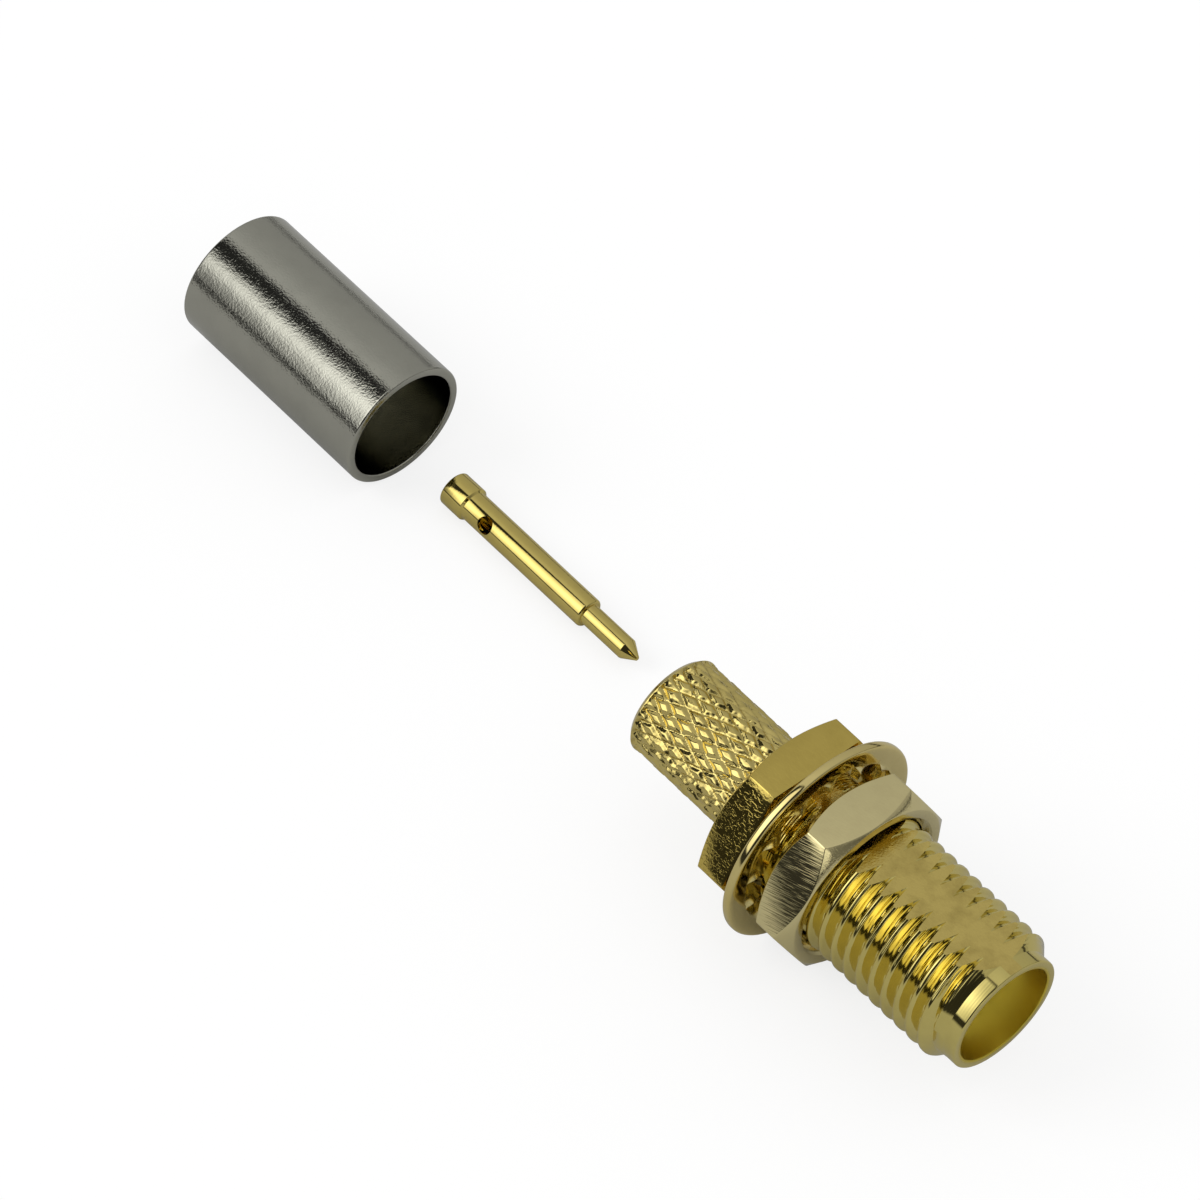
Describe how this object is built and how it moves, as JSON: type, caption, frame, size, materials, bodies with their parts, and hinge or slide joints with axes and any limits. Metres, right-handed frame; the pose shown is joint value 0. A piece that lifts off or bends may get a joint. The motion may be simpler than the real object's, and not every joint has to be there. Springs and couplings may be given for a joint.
{
  "type": "sma connector",
  "caption": "Threaded coaxial panel jack with hexagon flange, lock washer and nut, crimp stem, and its loose pin contact and crimp sleeve.",
  "frame": {"origin": "where the jack's axis crosses the flange face that seats on a panel", "axes": "+X along the jack's axis to its mating end, +Z square to the flat milled along the thread, which is up"},
  "size_m": [0.0492, 0.0101, 0.0096],
  "materials": {
    "gold_plate": "gold plate on brass, satin to polished",
    "nickel_plate": "nickel plate, frosted",
    "white_plastic": "natural white, matte"
  },
  "bodies": {
    "connector": {"body_shell": "gold_plate", "insulator": "white_plastic", "centre_contact": "gold_plate", "crimp_sleeve": "nickel_plate"},
    "washer": {"lock_washer": "gold_plate"},
    "nut": {"hex_nut": "gold_plate"}
  },
  "joints": [
    {"name": "washer_slide", "type": "slide", "parent": "connector", "child": "washer", "axis": [1, 0, 0], "range_m": [-0.00012, 0.00635]},
    {"name": "nut_spin", "type": "hinge", "parent": "washer", "child": "nut", "pos_m": [0, 0, 0], "axis": [1, 0, 0], "range_deg": [-62, 3242]}
  ],
  "couplings": [
    {"joint": "nut_spin", "follows": "washer_slide", "rad_per_m": 8905.3}
  ]
}
